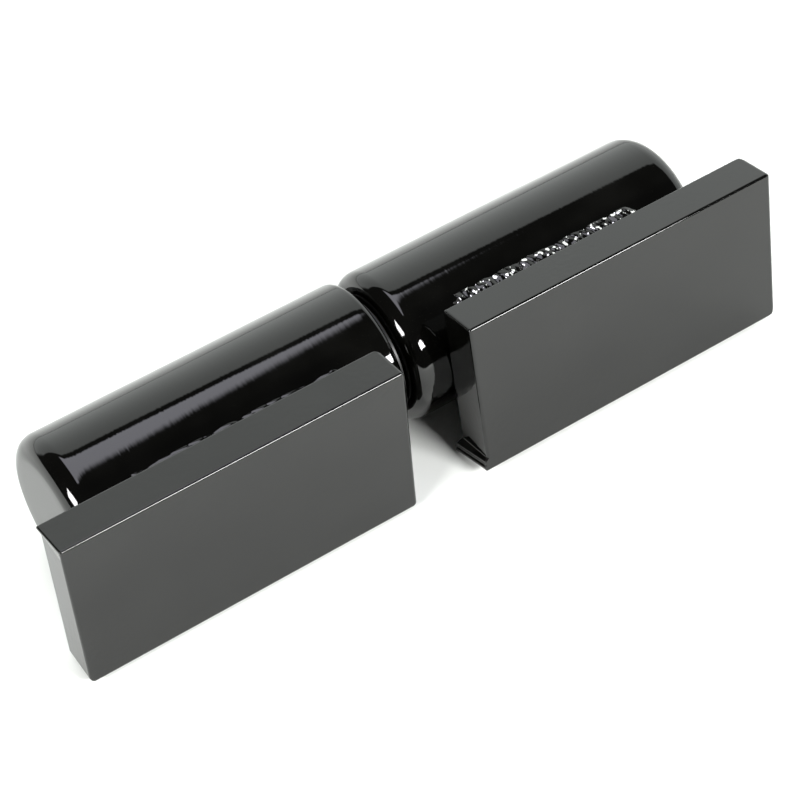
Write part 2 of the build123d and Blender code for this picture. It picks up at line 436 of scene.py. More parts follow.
@dataclass(frozen=True)
class Enamel:
    """Glossy black enamel. Heights and sizes are in metres."""

    slot: Slot
    gloss: float
    haze: float
    peel_height: float
    peel_size: float
    ring_height: float = 0.0
    ring_pitch: float = MM
    nib_height: float = 0.0
    nib_size: float = MM
    # spot size of the painted glints, bright metal standing in for highlights; 0 for none
    painted_glint_size: float = 0.0
    refraction: float = 1.52

    def painted_glints(self, graph: Graph) -> bpy.types.NodeSocket:
        """Painted glints: spots of bright metal that stand in for the highlights on the rough painted bead,
        where the bead's mesh attribute for them is above 0.

        Args:
            graph: the material's graph.

        Returns:
            The socket of how much painted glint shows, from 0 to 1.
        """
        place = graph.add("ShaderNodeTexCoord").outputs["Object"]
        spots = graph.steps(graph.noise(place, 1.0 / self.painted_glint_size, 1.5, 0.5), *PAINTED_GLINT_FADE)
        # the bead's own switch for its painted glints
        glint_wanted = graph.add("ShaderNodeAttribute", attribute_name="glint").outputs["Fac"]
        return graph.math("MULTIPLY", spots, glint_wanted)

    def material(self, effects: Effects) -> bpy.types.Material:
        """Builds the finish.

        Args:
            effects: the shared node groups.

        Returns:
            The new material.
        """
        material, graph, shader = start_material(f"enamel_{self.slot.value}")
        film = graph.group(effects.film, {"Gloss": self.gloss, "Haze": self.haze})
        sizes = {
            "Ring Height": self.ring_height,
            "Ring Pitch": self.ring_pitch,
            "Peel Height": self.peel_height,
            "Peel Size": self.peel_size,
            "Nib Height": self.nib_height,
            "Nib Size": self.nib_size,
        }
        skin = graph.group(effects.skin, sizes)
        color = film["Color"]
        # painted glints: bright metallic spots that stand in for the highlights on the rough painted bead
        if self.painted_glint_size > 0:
            shown = self.painted_glints(graph)
            color = graph.blend(shown, color, PAINTED_GLINT_COLOR)
            graph.feed(shader.inputs["Metallic"], shown)
        shader.inputs["IOR"].default_value = self.refraction
        join_surface(graph, shader, color, film["Roughness"], skin["Height"])
        return material


@dataclass(frozen=True)
class BareMetal:
    """Machined metal with no paint. Heights and pitches are in metres."""

    slot: Slot
    metal: tuple[float, float, float]
    stain: tuple[float, float, float]
    polish: float
    wear: float
    mark_height: float
    mark_pitch: float

    def material(self, effects: Effects) -> bpy.types.Material:
        """Builds the finish.

        Args:
            effects: the shared node groups.

        Returns:
            The new material.
        """
        material, graph, shader = start_material(f"metal_{self.slot.value}")
        values = {
            "Metal": (*self.metal, 1.0),
            "Stain": (*self.stain, 1.0),
            "Polish": self.polish,
            "Wear": self.wear,
            "Mark Height": self.mark_height,
            "Mark Pitch": self.mark_pitch,
        }
        lay = graph.group(effects.lay, values)
        shader.inputs["Metallic"].default_value = 1.0
        join_surface(graph, shader, lay["Color"], lay["Roughness"], lay["Height"])
        return material


@dataclass(frozen=True)
class Rubber:
    """Black nitrile rubber with a moulded grain and a bloom of pale dust."""

    slot: Slot
    grain_size: float = 0.35 * MM
    grain_height: float = 0.012 * MM

    def material(self, effects: Effects) -> bpy.types.Material:
        """Builds the finish.

        Args:
            effects: the shared node groups.

        Returns:
            The new material.
        """
        material, graph, shader = start_material(f"moulded_{self.slot.value}")
        bloom = {
            "Deep": (0.012, 0.012, 0.012, 1.0),
            "Cloud": (0.028, 0.027, 0.026, 1.0),
            "Gloss": 0.42,
            "Haze": 0.62,
            "Dust Amount": 0.12,
        }
        film = graph.group(effects.film, bloom)
        skin = graph.group(effects.skin, {"Peel Height": self.grain_height, "Peel Size": self.grain_size})
        join_surface(graph, shader, film["Color"], film["Roughness"], skin["Height"])
        return material


FINISHES: tuple[Enamel | BareMetal | Rubber, ...] = (
    Enamel(Slot.BARREL, 0.04, 0.07, 0.016 * MM, 5.0 * MM, ring_height=0.013 * MM, ring_pitch=0.8 * MM),
    Enamel(Slot.PLATE, 0.05, 0.09, 0.006 * MM, 5.0 * MM, nib_height=0.03 * MM, nib_size=0.9 * MM),
    # the weld's enamel carries painted glints: bright metal spots standing in for highlights
    Enamel(Slot.WELD, 0.04, 0.06, 0.01 * MM, 2.5 * MM, painted_glint_size=1.5 * MM),
    BareMetal(Slot.TURNED, (0.46, 0.45, 0.43), (0.26, 0.23, 0.19), 0.22, 0.42, 0.004 * MM, 0.25 * MM),
    BareMetal(Slot.BEARING, (0.62, 0.62, 0.61), (0.42, 0.39, 0.34), 0.12, 0.24, 0.001 * MM, 0.15 * MM),
    BareMetal(Slot.BALL, (0.72, 0.72, 0.72), (0.60, 0.59, 0.57), 0.04, 0.09, 0.0, MM),
    BareMetal(Slot.BRASS, (0.78, 0.56, 0.24), (0.42, 0.26, 0.10), 0.24, 0.42, 0.002 * MM, 0.3 * MM),
    BareMetal(Slot.SPRING, (0.10, 0.10, 0.11), (0.16, 0.09, 0.05), 0.30, 0.50, 0.003 * MM, 0.2 * MM),
    Rubber(Slot.RUBBER),
)


class PaintShop:
    """Makes every finish once and puts it on pieces and frame nodes."""

    def __init__(self) -> None:
        """Builds the shared effects and one material for each slot."""
        effects = Effects()
        self.materials = {finish.slot: finish.material(effects) for finish in FINISHES}

    def dress(self, piece: bpy.types.Object, slot: Slot) -> None:
        """Gives a piece one finish all over.

        Args:
            piece: a mesh object.
            slot: the finish.
        """
        piece.data.materials.clear()
        piece.data.materials.append(self.materials[slot])

    def dress_nodes(self, nodes: dict[str, bpy.types.Object]) -> None:
        """Gives every frame node the finish of its slot, which the frame's plain material is named for.

        Args:
            nodes: the frame's node objects by name.
        """
        for node in nodes.values():
            self.dress(node, Slot(node.data.materials[0].name))


# ---------------------------------------------------------------------------------------------------------
# Places, from the frame


@dataclass(frozen=True)
class Leaf:
    """Where one half of the hinge is: its own axes, and the frame nodes that it stands for."""

    side: Side
    body: str
    axis_y: float
    axis_z: float
    outward: Vector
    upward: Vector
    barrel_span: tuple[float, float]
    barrel_r: float
    plate_span: tuple[float, float]
    plate_front: float
    plate_middle: float

    @property
    def name(self) -> str:
        """The word that starts the names of this leaf's pieces."""
        return self.side.name.lower()

    def at(self, along: float, out: float, up: float) -> Vector:
        """A point of the leaf, with distances from the pin's axis.

        Args:
            along: the place along X.
            out: how far out towards the plate.
            up: how far up, along the plate's face.

        Returns:
            The point in the frame's axes.
        """
        return Vector((along, self.axis_y, self.axis_z)) + self.outward * out + self.upward * up

    @classmethod
    def read(cls, frame: dict[str, Any], side: Side) -> "Leaf":
        """Works a leaf's place out from the frame.

        Args:
            side: which leaf.

        Returns:
            The leaf.
        """
        word = side.name.lower()
        axis_point = frame["joints"][0]["pos_m"]
        mount = next(m for m in frame["record"]["mounts"] if m["name"] == f"{word}_plate_face")
        outward = Vector(mount["axis"]).normalized()
        upward = X_AXIS.cross(outward)
        if upward.z < 0:
            upward.negate()
        face = Vector(mount["pos_m"]) - Vector((0.0, axis_point[1], axis_point[2]))
        barrel_low, barrel_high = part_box(f"{word}_barrel")
        plate_low, plate_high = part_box(f"{word}_plate")
        return cls(
            side=side,
            body=f"{word}_leaf",
            axis_y=axis_point[1],
            axis_z=axis_point[2],
            outward=outward,
            upward=upward,
            barrel_span=(barrel_low.x, barrel_high.x),
            barrel_r=(barrel_high.z - barrel_low.z) / 2,
            plate_span=(plate_low.x, plate_high.x),
            plate_front=face.dot(outward),
            plate_middle=face.dot(upward),
        )


def new_piece(name: str, verts: Sequence[Vector], faces: Sequence[Sequence[int]]) -> bpy.types.Object:
    """Makes a smooth mesh object whose normals point outwards.

    Args:
        name: the piece's name.
        verts: its points, in the frame's axes.
        faces: its faces, as point numbers.

    Returns:
        The new object, at the origin.
    """
    mesh = bpy.data.meshes.new(name)
    mesh.from_pydata(verts, [], faces)
    shell = bmesh.new()
    shell.from_mesh(mesh)
    bmesh.ops.recalc_face_normals(shell, faces=shell.faces)
    shell.to_mesh(mesh)
    shell.free()
    mesh.shade_smooth()
    piece = bpy.data.objects.new(name, mesh)
    bpy.context.scene.collection.objects.link(piece)
    return piece


def settle(piece: bpy.types.Object) -> None:
    """Turns a piece's modifiers into plain mesh and removes them.

    Args:
        piece: the object to settle.
    """
    depsgraph = bpy.context.evaluated_depsgraph_get()
    mesh = bpy.data.meshes.new_from_object(piece.evaluated_get(depsgraph), depsgraph=depsgraph)
    old = piece.data
    piece.modifiers.clear()
    piece.data = mesh
    bpy.data.meshes.remove(old)
    mesh.name = piece.name


def ring_faces(rings: int, size: int) -> list[tuple[int, ...]]:
    """Faces that join closed rings of points, each to the next.

    Args:
        rings: how many rings there are.
        size: how many points each has.

    Returns:
        The faces, as point numbers.
    """
    return [
        (first + n, first + (n + 1) % size, first + size + (n + 1) % size, first + size + n)
        for first in range(0, (rings - 1) * size, size)
        for n in range(size)
    ]


def arc(
    centre: tuple[float, float], r: float, start: float, end: float, count: int
) -> list[tuple[float, float]]:
    """Points on an arc in a flat section.

    Args:
        centre: the arc's centre.
        r: its radius.
        start: its first angle, in degrees.
        end: its last angle, in degrees.
        count: how many steps it has.

    Returns:
        The points, both ends among them.
    """
    angles = [math.radians(start + (end - start) * step / count) for step in range(count + 1)]
    return [(centre[0] + r * math.cos(a), centre[1] + r * math.sin(a)) for a in angles]


# ---------------------------------------------------------------------------------------------------------
# Barrels


SHARP_ANGLE = math.radians(40)
TRUE_BELOW = 0.8  # what part of the radius is machined, so free of the bar's small errors


@dataclass
class Barrel:
    """One length of round bar with rolled-over ends, bored blind from the joint for the pin and bearings."""

    leaf: Leaf
    inner_round: float
    outer_round: float = 6.0 * MM
    segments: int = 192
    fillet_steps: int = 14
    body_steps: int = 44
    cap_steps: int = 6
    sag: float = 0.035 * MM
    sag_length: float = 26.0 * MM
    bore: tuple[tuple[float, float], ...] = ()

    def section(self) -> list[tuple[float, float]]:
        """The half section from the axis at the far end, round the outside, and back to the bore's floor.

        Returns:
            Points as (distance from the joint face, radius).
        """
        low, high = self.leaf.barrel_span
        length, r = high - low, self.leaf.barrel_r
        outer, inner = self.outer_round, self.inner_round
        far = arc((length - outer, r - outer), outer, 0, 90, self.fillet_steps)
        near = arc((inner, r - inner), inner, 90, 180, self.fillet_steps)
        start, end = far[-1][0], near[0][0]
        wall = [(start + (end - start) * step / self.body_steps, r) for step in range(1, self.body_steps)]
        cap = [(length, (r - outer) * step / self.cap_steps) for step in range(1, self.cap_steps)]
        return [*cap, *far, *wall, *near, *self.bore]

    def radius_at(self, along: float, r: float, angle: float) -> float:
        """The bar's true radius: drawn bar isn't perfectly round or straight.

        Args:
            along: the place along X.
            r: the nominal radius there.
            angle: the angle round the axis.

        Returns:
            The radius with its small error.
        """
        if r < self.leaf.barrel_r * TRUE_BELOW:
            return r
        spot = Vector((along / self.sag_length, 1.2 * math.cos(angle), 1.2 * math.sin(angle)))
        return r + self.sag * noise.noise(spot)

    def build(self) -> bpy.types.Object:
        """Turns the section round the pin's axis.

        Returns:
            The barrel.
        """
        low, high = self.leaf.barrel_span
        joint_face = high if self.leaf.side is Side.FRAME else low
        way = self.leaf.side.value
        rows = self.section()
        verts: list[Vector] = []
        for distance, r in rows:
            along = joint_face + way * distance
            for step in range(self.segments):
                angle = 2 * math.pi * step / self.segments
                true_r = self.radius_at(along, r, angle)
                offset = Vector((0.0, true_r * math.cos(angle), true_r * math.sin(angle)))
                verts.append(Vector((along, self.leaf.axis_y, self.leaf.axis_z)) + offset)
        size = self.segments
        faces = ring_faces(len(rows), size)
        for distance, first in ((rows[0][0], 0), (rows[-1][0], (len(rows) - 1) * size)):
            verts.append(Vector((joint_face + way * distance, self.leaf.axis_y, self.leaf.axis_z)))
            hub = len(verts) - 1
            faces.extend((first + step, first + (step + 1) % size, hub) for step in range(size))
        piece = new_piece(f"{self.leaf.name}_barrel_skin", verts, faces)
        piece.data.set_sharp_from_angle(angle=SHARP_ANGLE)
        return piece


# ---------------------------------------------------------------------------------------------------------
# Plates


@dataclass(frozen=True)
class Corner:
    """One corner of a plate's outline, seen from the front.

    Distances run inwards from the plate's nominal ends and edges, so a negative inset stands proud.
    """

    right: bool
    top: bool
    front_inset: float
    back_inset: float
    drop: float
    through_r: float
    front_r: float
    back_r: float


@dataclass
class Plate:
    """A length of flat bar. Its ends are sheared, so they have rolled edges on one side and a torn lip."""

    leaf: Leaf
    corners: tuple[Corner, ...]
    width: float = 50.8 * MM
    bevel_steps: int = 6

    def outline(self, front: bool) -> list[Vector]:
        """The outline of the front or the back face.

        Args:
            front: whether it is the front face.

        Returns:
            The corners in the frame's axes.
        """
        low, high = self.leaf.plate_span
        out = self.leaf.plate_front if front else self.leaf.barrel_r
        points = []
        for corner in self.corners:
            inset = corner.front_inset if front else corner.back_inset
            along = high - inset if corner.right else low + inset
            half = self.width / 2 - corner.drop
            up = self.leaf.plate_middle + (half if corner.top else -half)
            points.append(self.leaf.at(along, out, up))
        return points

    def build(self) -> bpy.types.Object:
        """Builds the bar and rounds each of its edges by its own radius.

        Returns:
            The plate.
        """
        count = len(self.corners)
        verts = [*self.outline(True), *self.outline(False)]
        sides = [(n, (n + 1) % count, count + (n + 1) % count, count + n) for n in range(count)]
        faces = [tuple(range(count)), tuple(range(2 * count - 1, count - 1, -1)), *sides]
        piece = new_piece(f"{self.leaf.name}_plate_skin", verts, faces)
        widest = max(max(c.through_r, c.front_r, c.back_r) for c in self.corners)
        weights = piece.data.attributes.new("bevel_weight_edge", "FLOAT", "EDGE")
        for edge in piece.data.edges:
            weights.data[edge.index].value = self.edge_radius(*sorted(edge.vertices), count) / widest
        bevel = piece.modifiers.new("edges", "BEVEL")
        bevel.limit_method = "WEIGHT"
        bevel.width = widest
        bevel.segments = self.bevel_steps
        bevel.harden_normals = True
        bevel.use_clamp_overlap = False
        settle(piece)
        return piece

    def edge_radius(self, first: int, second: int, count: int) -> float:
        """How far one edge is rounded.

        Args:
            first: the edge's lower point number.
            second: its higher point number.
            count: how many corners the outline has.

        Returns:
            The radius, in metres.
        """
        if second - first == count:
            return self.corners[first].through_r
        front = second < count
        place = first % count if second - first == 1 else second % count
        return self.corners[place].front_r if front else self.corners[place].back_r


# ---------------------------------------------------------------------------------------------------------
# Weld beads


@dataclass(frozen=True)
class BeadStyle:
    """How the welder's hand shows in a bead. Lengths are in metres."""

    lobe_length: float
    lobe_height: float
    ripple_pitch: float
    ripple_height: float
    lump_size: float
    lump_height: float
    spatter_density: float
    spatter_radius: float
    squareness: float
    # whether the bead shows painted glints, bright metal spots standing in for highlights
    glint: float
    seed: int


BEAD_SIZES = (
    "Lobe Height",
    "Ripple Pitch",
    "Ripple Height",
    "Lump Size",
    "Lump Height",
    "Spatter Density",
    "Spatter Radius",
)
BEAD_INPUTS = {
    "Geometry": "NodeSocketGeometry",
    **dict.fromkeys(BEAD_SIZES, FLOAT),
    "Seed": "NodeSocketInt",
    "Finish": "NodeSocketMaterial",
}
BEAD_MARKS = ("along", "across", "crown", "swell", "glint")  # the numbers stored on a bead's points
SEED_SHIFT = 1.37
SWAY_SCALE = 45.0
RIPPLE_BOW = 0.9
LUMP_SMOOTHNESS = 0.35
LUMP_MIDDLE = 0.55
SPATTERED_CROWN = 0.25
SMALLEST_DROP = 0.35


def build_bead_tree() -> bpy.types.NodeTree:
    """Geometry nodes that raise a plain fillet into a hand-laid bead, and drop balls of spatter on it.

    Returns:
        The tree. It reads the base mesh's attributes along, across, crown and swell.
    """
    graph = open_group("Hand Laid Bead", "GeometryNodeTree", BEAD_INPUTS, {"Geometry": "NodeSocketGeometry"})
    given = graph.add("NodeGroupInput").outputs

    def attribute(name: str) -> bpy.types.NodeSocket:
        """Reads a number stored on the base mesh."""
        return graph.add("GeometryNodeInputNamedAttribute", {"Name": name}, data_type="FLOAT").outputs[0]

    along, across, crown, swell = (attribute(name) for name in BEAD_MARKS[:4])
    shift = graph.math("MULTIPLY", given["Seed"], SEED_SHIFT)
    shift = graph.add("ShaderNodeCombineXYZ", {"X": shift}).outputs[0]
    place = graph.vector("ADD", graph.add("GeometryNodeInputPosition").outputs[0], shift)
    sway = graph.math("SUBTRACT", graph.noise(place, SWAY_SCALE, 1.0), 0.5)
    bow = graph.math("MULTIPLY", graph.math("MULTIPLY", across, across), RIPPLE_BOW)
    beat = graph.math("DIVIDE", along, given["Ripple Pitch"])
    beat = graph.math("ADD", beat, graph.math("ADD", bow, sway))
    wave = graph.math("ABSOLUTE", graph.math("SINE", graph.math("MULTIPLY", beat, math.pi)))
    fineness = graph.math("DIVIDE", 1.0, given["Lump Size"])
    cell_inputs = {"Vector": place, "Scale": fineness, "Smoothness": LUMP_SMOOTHNESS}
    cells = graph.add("ShaderNodeTexVoronoi", cell_inputs, feature="SMOOTH_F1")
    lump = graph.math("SUBTRACT", LUMP_MIDDLE, cells.outputs["Distance"])
    height = graph.math("MULTIPLY", swell, given["Lobe Height"])
    height = graph.math("MULTIPLY_ADD", wave, given["Ripple Height"], height)
    height = graph.math("MULTIPLY_ADD", lump, given["Lump Height"], height)
    normal = graph.add("GeometryNodeInputNormal").outputs[0]
    push = graph.scaled(normal, graph.math("MULTIPLY", height, crown))
    raised = graph.add("GeometryNodeSetPosition", {"Geometry": given["Geometry"], "Offset": push}).outputs[0]

    compared = {"A": crown, "B": SPATTERED_CROWN}
    bare = graph.add("FunctionNodeCompare", compared, data_type="FLOAT", operation="GREATER_THAN")
    scatter = {
        "Mesh": raised,
        "Selection": bare.outputs[0],
        "Density": given["Spatter Density"],
        "Seed": given["Seed"],
    }
    drops = graph.add("GeometryNodeDistributePointsOnFaces", scatter, distribute_method="RANDOM")
    ball = graph.add("GeometryNodeMeshIcoSphere", {"Radius": given["Spatter Radius"], "Subdivisions": 2})
    spread_inputs = {"Seed": given["Seed"], 2: SMALLEST_DROP, 3: 1.0}
    spread = graph.add("FunctionNodeRandomValue", spread_inputs, data_type="FLOAT")
    dropped = {"Points": drops.outputs[0], "Instance": ball.outputs[0], "Scale": spread.outputs[1]}
    placed = graph.add("GeometryNodeInstanceOnPoints", dropped)
    joined = graph.add("GeometryNodeJoinGeometry")
    graph.feed(joined.inputs[0], raised)
    graph.feed(joined.inputs[0], placed.outputs[0])
    real = graph.add("GeometryNodeRealizeInstances", {"Geometry": joined.outputs[0]})
    smooth = graph.add("GeometryNodeSetShadeSmooth", {"Geometry": real.outputs[0]})
    coat = {"Geometry": smooth.outputs[0], "Material": given["Finish"]}
    painted = graph.add("GeometryNodeSetMaterial", coat)
    graph.add("NodeGroupOutput", {"Geometry": painted.outputs[0]})
    return graph.tree


@dataclass
class WeldBead:
    """One fillet weld, in the valley between a barrel and the back of its plate."""

    leaf: Leaf
    above: bool
    style: BeadStyle
    toe_angle: float
    crown: float
    plate_leg: float
    root_angle: float = 8.0
    toe_sway: float = 1.6
    bite: float = 0.35 * MM
    end_length: float = 6.0 * MM
    step: float = 0.3 * MM
    crown_steps: int = 44
    back_steps: int = 8

    @property
    def node(self) -> str:
        """The frame node that the bead stands for."""
        return f"{self.leaf.name}_weld_{'upper' if self.above else 'lower'}"

    def swell(self, along: float) -> float:
        """How far the weaving torch has swelled the bead here.

        Args:
            along: the place along X.

        Returns:
            A number from 0, in the nick between two lobes, to 1.
        """
        sway = noise.noise(Vector((along / (1.4 * self.style.lobe_length), self.style.seed, 0.5)))
        return abs(math.sin(math.pi * (along / self.style.lobe_length + 0.7 * sway))) ** 0.55

    def loop(self, fullness: float, swell: float) -> list[tuple[float, float, float, float]]:
        """The bead's closed section.

        Args:
            fullness: how full the bead is here, from 0 at its very ends to 1.
            swell: how swollen it is here, from 0 to 1.

        Returns:
            Points as (out, up, across, crown): across runs from -1 to 1 over the face, and crown is how
            much of the relief shows.
        """
        r = self.leaf.barrel_r
        root = math.radians(self.root_angle)
        full_toe = math.radians(self.toe_angle - self.toe_sway * (1 - swell))
        toe = root + (full_toe - root) * (0.15 + 0.85 * fullness)
        barrel_toe = Vector(((r - self.bite) * math.cos(toe), (r - self.bite) * math.sin(toe)))
        low = r * math.sin(root)
        plate_toe = Vector((r + self.bite, low + (self.plate_leg - low) * fullness))
        face = plate_toe - barrel_toe
        rise = Vector((-face.y, face.x)).normalized()
        points: list[tuple[float, float, float, float]] = []
        for step in range(self.crown_steps + 1):
            t = step / self.crown_steps
            bulge = 1 - abs(2 * t - 1) ** self.style.squareness
            spot = barrel_toe + face * t + rise * (self.crown * fullness * bulge)
            points.append((spot.x, spot.y, 2 * t - 1, fullness * bulge))
        for step in range(1, self.back_steps):
            up = plate_toe.y + (low - plate_toe.y) * step / self.back_steps
            points.append((plate_toe.x, up, 1.0, 0.0))
        for step in range(self.back_steps):
            reach, angle = r - self.bite, root + (toe - root) * step / self.back_steps
            points.append((reach * math.cos(angle), reach * math.sin(angle), -1.0, 0.0))
        return points

    def base(self) -> bpy.types.Object:
        """Sweeps the section along the valley, full in the middle and rounded off at both ends.

        Returns:
            The plain fillet, with the attributes of BEAD_MARKS.
        """
        low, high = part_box(self.node)
        rows = max(8, round((high.x - low.x) / self.step))
        sign = 1 if self.above else -1
        verts: list[Vector] = []
        marks: dict[str, list[float]] = {name: [] for name in BEAD_MARKS}
        for row in range(rows + 1):
            along = low.x + (high.x - low.x) * row / rows
            edge = min(along - low.x, high.x - along) / self.end_length
            fullness = math.sqrt(max(0.0, 1 - (1 - min(1.0, edge)) ** 2))
            swell = self.swell(along)
            for out, up, across, crown in self.loop(fullness, swell):
                verts.append(self.leaf.at(along, out, sign * up))
                # the last number switches on the painted glints in the weld's enamel
                values = (along, across, crown, swell, self.style.glint)
                for name, value in zip(marks, values):
                    marks[name].append(value)
        size = len(verts) // (rows + 1)
        ends = [tuple(range(size)), tuple(rows * size + n for n in range(size))]
        faces = ring_faces(rows + 1, size) + ends
        piece = new_piece(f"{self.node}_bead", verts, faces)
        for name, values in marks.items():
            piece.data.attributes.new(name, "FLOAT", "POINT").data.foreach_set("value", values)
        return piece

    def build(self, tree: bpy.types.NodeTree, finish: bpy.types.Material) -> bpy.types.Object:
        """Lays the bead.

        Args:
            tree: the geometry nodes that raise it.
            finish: its paint.

        Returns:
            The bead, as plain mesh.
        """
        piece = self.base()
        modifier = piece.modifiers.new("bead", "NODES")
        modifier.node_group = tree
        sizes = {label: getattr(self.style, label.lower().replace(" ", "_")) for label in BEAD_SIZES}
        values = {**sizes, "Seed": self.style.seed, "Finish": finish}
        for item in tree.interface.items_tree:
            if item.in_out == "INPUT" and item.name in values:
                modifier[item.identifier] = values[item.name]
        settle(piece)
        return piece


# ---------------------------------------------------------------------------------------------------------
# The hinge


EDGE_R = 0.8 * MM


def sheared_ends(lip: Sequence[Corner], far_back_r: float, far_low_r: float) -> tuple[Corner, ...]:
    """A plate's outline, from its top right corner round by the left.

    Args:
        lip: the corners of the left end, from the top down, with whatever the shear tore there.
        far_back_r: how far the right end's back edge is rolled over.
        far_low_r: how far the right end's lower corner is rounded.

    Returns:
        All the corners in order.
    """
    return (
        Corner(True, True, 0.0, 0.3 * MM, 0.0, 1.4 * MM, EDGE_R, EDGE_R),
        *lip,
        Corner(True, False, 0.2 * MM, 0.6 * MM, 0.0, far_low_r, 1.2 * MM, far_back_r),
    )


FRAME_LIP = (
    Corner(False, True, 0.0, -0.3 * MM, 0.0, 0.7 * MM, EDGE_R, 0.6 * MM),
    Corner(False, True, 0.1 * MM, 0.0, 1.3 * MM, 0.5 * MM, EDGE_R, 0.4 * MM),
    Corner(False, True, 0.1 * MM, 0.8 * MM, 2.7 * MM, 0.8 * MM, EDGE_R, 0.6 * MM),
    Corner(False, False, 0.0, 0.6 * MM, 0.0, 2.5 * MM, 1.0 * MM, 0.9 * MM),
)

GATE_LIP = (
    Corner(False, True, 0.0, 0.0, 0.0, 0.8 * MM, 0.8 * MM, 0.6 * MM),
    Corner(False, False, 0.4 * MM, 0.5 * MM, 4.6 * MM, 0.5 * MM, 0.6 * MM, 0.5 * MM),
    Corner(False, False, -0.5 * MM, -1.9 * MM, 3.8 * MM, 0.5 * MM, 0.3 * MM, 0.3 * MM),
    Corner(False, False, -0.3 * MM, -1.6 * MM, 2.6 * MM, 0.3 * MM, 0.3 * MM, 0.3 * MM),
    Corner(False, False, -1.0 * MM, -2.4 * MM, 1.6 * MM, 0.5 * MM, 0.3 * MM, 0.3 * MM),
    Corner(False, False, -0.2 * MM, -0.8 * MM, 0.0, 0.6 * MM, 0.8 * MM, 0.8 * MM),
)

STEADY_HAND = BeadStyle(
    lobe_length=16.0 * MM,
    lobe_height=0.4 * MM,
    ripple_pitch=5.0 * MM,
    ripple_height=0.15 * MM,
    lump_size=4.0 * MM,
    lump_height=0.15 * MM,
    spatter_density=1200.0,
    spatter_radius=0.3 * MM,
    squareness=5.0,
    glint=0.0,
    seed=4,
)

QUICK_HAND = BeadStyle(
    lobe_length=9.0 * MM,
    lobe_height=0.2 * MM,
    ripple_pitch=2.6 * MM,
    ripple_height=0.14 * MM,
    lump_size=2.3 * MM,
    lump_height=0.45 * MM,
    spatter_density=4000.0,
    spatter_radius=0.45 * MM,
    squareness=2.2,
    # this bead gets painted glints, standing in for the highlights on its rough paint
    glint=1.0,
    seed=11,
)


@dataclass
class LeafAssembly:
    """One leaf of the hinge: its barrel, its plate and the two beads that join them."""

    leaf: Leaf
    corners: tuple[Corner, ...]
    style: BeadStyle
    toe_angle: float
    bead_crown: float
    plate_leg: float
    inner_round: float
    bore: tuple[tuple[float, float], ...]

    def build(self, shop: PaintShop, bead_tree: bpy.types.NodeTree) -> None:
        """Makes and dresses the leaf's four pieces and hangs them on the leaf's body.

        Args:
            shop: the finishes.
            bead_tree: the geometry nodes that raise a bead.
        """
        word = self.leaf.name
        barrel = Barrel(self.leaf, self.inner_round, bore=self.bore).build()
        self.add(barrel, Slot.BARREL, f"{word}_barrel", shop)
        self.add(Plate(self.leaf, self.corners).build(), Slot.PLATE, f"{word}_plate", shop)
        for above in (True, False):
            bead = WeldBead(self.leaf, above, self.style, self.toe_angle, self.bead_crown, self.plate_leg)
            self.add(bead.build(bead_tree, shop.materials[Slot.WELD]), Slot.WELD, bead.node, shop)

    def add(self, piece: bpy.types.Object, slot: Slot, node: str, shop: PaintShop) -> None:
        """Dresses a piece and lets it stand for a frame node.

        Args:
            piece: the finished mesh.
            slot: its finish.
            node: the node that it replaces.
            shop: the finishes.
        """
        shop.dress(piece, slot)
        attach(piece, self.leaf.body)
        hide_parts(node)
        log.info("%s: %d faces, rides on %s", piece.name, len(piece.data.polygons), self.leaf.body)


def frame_bore() -> tuple[tuple[float, float], ...]:
    """The frame barrel's inside: a pocket for the thrust bearing, then a blind bore for the pressed pin.

    Returns:
        Points as (distance from the joint face, radius).
    """
    washer_low, washer_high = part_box("thrust_frame_washer")
    pin_low, pin_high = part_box("hinge_pin")
    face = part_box("frame_barrel")[1].x
    pocket_r = (washer_high.z - washer_low.z) / 2 + 0.2 * MM
    pin_r = (pin_high.z - pin_low.z) / 2
    pocket, floor = face - washer_low.x, face - pin_low.x + 2.0 * MM
    return ((0.0, pocket_r), (pocket, pocket_r), (pocket, pin_r), (floor, pin_r))


def gate_bore() -> tuple[tuple[float, float], ...]:
    """The gate barrel's inside: a groove for the circlip, the bearings' bore and a slack bore behind them.

    Returns:
        Points as (distance from the joint face, radius).
    """
    ring_low, ring_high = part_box("far_bearing_outer_ring")
    clip_low, clip_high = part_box("bore_circlip")
    pin_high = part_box("hinge_pin")[1]
    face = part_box("gate_barrel")[0].x
    ring_r = (ring_high.z - ring_low.z) / 2
    clip_r = clip_high.y - (clip_low.y + clip_high.y) / 2
    slack_r = ring_r - 1.2 * MM
    stack = ring_high.x - face
    groove = (clip_low.x - face, clip_high.x - face)
    return (
        (0.0, ring_r),
        (groove[0], ring_r),
        (groove[0], clip_r),
        (groove[1], clip_r),
        (groove[1], ring_r),
        (stack, ring_r),
        (stack, slack_r),
        (pin_high.x - face + 3.0 * MM, slack_r),
    )


# ---------------------------------------------------------------------------------------------------------
# The studio


WALL_TINT = (0.955, 1.0, 0.975)
CEILING_TINT = (1.0, 1.0, 1.10)
PAPER_TINT = (0.980, 1.0, 0.965)


@dataclass(frozen=True)
class Edge:
    """One soft edge of a sky panel: the panel fades in as a direction's height over a plane grows."""

    normal: tuple[float, float, float]
    fade_from: float
    fade_to: float


WALL_TOP = Edge((0.518, 0.617, -0.592), -0.015, 0.025)
WALL_LEFT = Edge((0.82, 0.57, 0.0), -0.06, 0.06)


@dataclass(frozen=True)
class SkyPanel:
    """A soft bright area of the studio's far walls and ceiling, bounded by planes through the hinge."""

    radiance: float
    tint: tuple[float, float, float]
    edges: tuple[Edge, ...]


